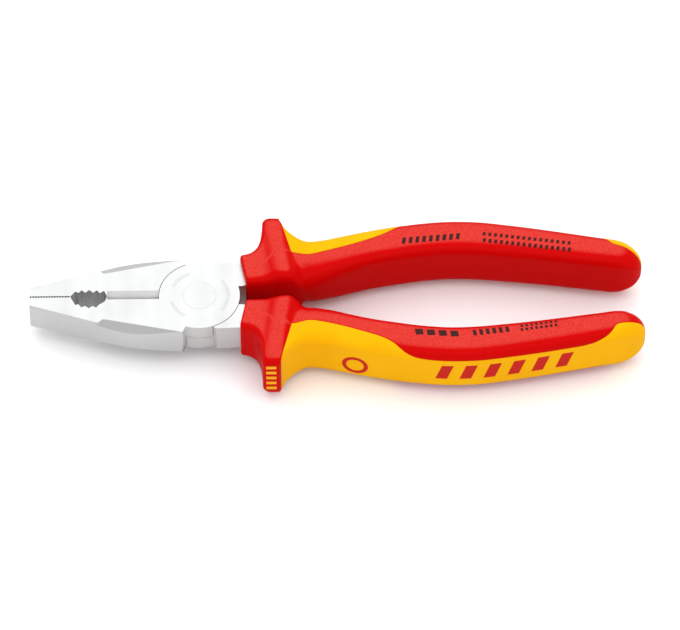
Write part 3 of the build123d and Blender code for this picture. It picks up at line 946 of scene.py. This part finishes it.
sideMarkPieces = {side: sideMarks(side) for side in sides}
for side, facts in sides.items():
    for piece in topPrints(side):
        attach(piece, facts["body"])
for piece in discTicks():
    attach(piece, "swing_half")
print("marks made")


def refinish(node, finish):
    nodes[node].data.materials.clear()
    nodes[node].data.materials.append(finish)


for side, facts in sides.items():
    for piece, node, slotName in ((levers[side], "jaw_lever_", "head_steel"),
                                  (bodies[side], "grip_body_", "grip_red"),
                                  (panels[side], "soft_panel_", "panel_yellow"),
                                  (sideMarkPieces[side]["panel_stripes_"], "panel_stripes_", "mark_red"),
                                  (sideMarkPieces[side]["panel_ring_"], "panel_ring_", "mark_red"),
                                  (sideMarkPieces[side]["guard_bars_"], "guard_bars_", "mark_yellow")):
        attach(piece, facts["body"])
        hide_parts(node + side)
    refinish("tang_sleeve_" + side, finishes["sleeve"])
refinish("rivet", finishes["rivet"])
print("pieces placed on their bodies")


# Floor, light and camera

studio = {
    "floorTone": 0.93, "floorSeen": 0.54,     # the floor itself, and as it shows in the steel and plastic
    "floorRough": 0.16,
    "dome": 1.14, "domeSeen": 0.50,           # the same for the dome
    "target": (0.0009, -0.0042, 0.01125), "elevation": 53.5, "azimuth": -0.7,
    "distance": 1.547, "lens": 264.7,
}
# Watts, size and place in metres. The overhead lamp lights surfaces, the others only show as reflections.
lamps = {
    "overhead": {"watts": 7.4, "size": (1.6, 1.6), "place": (0, 0.1, 1.2), "reflected": False},
    "back": {"watts": 1.9, "size": (1.3, 0.62), "place": (0, 0.62, 0.80), "reflected": True},
    "front": {"watts": 0.9, "size": (1.1, 0.12), "place": (0, -0.80, 0.62), "reflected": True},
}


def makeFloor():
    finish, tree, shader = newFinish("floorWhite")
    tone = studio["floorTone"]
    speck = addNode(tree, "ShaderNodeTexNoise", [("Vector", objectPlace(tree))], Scale=3.0, Detail=2.0)
    cooler = (tone * 0.99, tone * 0.99, tone)
    tree.links.new(colourMix(tree, speck.outputs["Fac"], (tone, tone, tone), cooler),
                   shader.inputs["Base Color"])
    shader.inputs["Roughness"].default_value = studio["floorRough"]
    shader.inputs["Specular IOR Level"].default_value = 0.35
    seen = addNode(tree, "ShaderNodeBsdfDiffuse", Color=(studio["floorSeen"],) * 3 + (1,))
    path = tree.nodes.new("ShaderNodeLightPath")
    blend = tree.nodes.new("ShaderNodeMixShader")
    tree.links.new(path.outputs["Is Glossy Ray"], blend.inputs[0])
    tree.links.new(shader.outputs[0], blend.inputs[1])
    tree.links.new(seen.outputs[0], blend.inputs[2])
    tree.links.new(blend.outputs[0], tree.nodes["Material Output"].inputs["Surface"])
    low = cadBox[0][2]
    corners = [(-2, -2, low), (2, -2, low), (2, 2, low), (-2, 2, low)]
    floor = meshObject("floor", corners, [(0, 1, 2, 3)], finish, smooth=False)


def softLight(name, watts, size, place, reflected):
    data = bpy.data.lights.new(name, "AREA")
    data.shape = "RECTANGLE"
    data.size, data.size_y = size
    data.energy = watts
    lamp = bpy.data.objects.new(name, data)
    bpy.context.scene.collection.objects.link(lamp)
    lamp.location = place
    lamp.rotation_euler = (Vector(studio["target"]) - Vector(place)).to_track_quat("-Z", "Y").to_euler()
    lamp.visible_diffuse = not reflected
    lamp.visible_glossy = reflected


def makeWorld():
    world = bpy.data.worlds.new("studioDome")
    world.use_nodes = True
    tree = world.node_tree
    background = tree.nodes["Background"]
    background.inputs["Color"].default_value = (1, 1, 1, 1)
    path = tree.nodes.new("ShaderNodeLightPath")
    tree.links.new(valueMix(tree, path.outputs["Is Glossy Ray"], studio["dome"], studio["domeSeen"]),
                   background.inputs["Strength"])
    bpy.context.scene.world = world


def makeCamera():
    data = bpy.data.cameras.new("camera")
    camera = bpy.data.objects.new("camera", data)
    bpy.context.scene.collection.objects.link(camera)
    up, around = math.radians(studio["elevation"]), math.radians(studio["azimuth"])
    towards = Vector((math.sin(around) * math.cos(up), -math.cos(around) * math.cos(up), math.sin(up)))
    camera.location = Vector(studio["target"]) + studio["distance"] * towards
    camera.rotation_euler = towards.to_track_quat("Z", "Y").to_euler()
    data.lens = studio["lens"]
    data.sensor_width = 36
    data.clip_start = 0.05
    bpy.context.scene.camera = camera


makeFloor()
makeWorld()
for name, values in lamps.items():
    softLight(name, **values)
makeCamera()
bpy.context.scene.view_settings.view_transform = "Standard"
print("studio made")
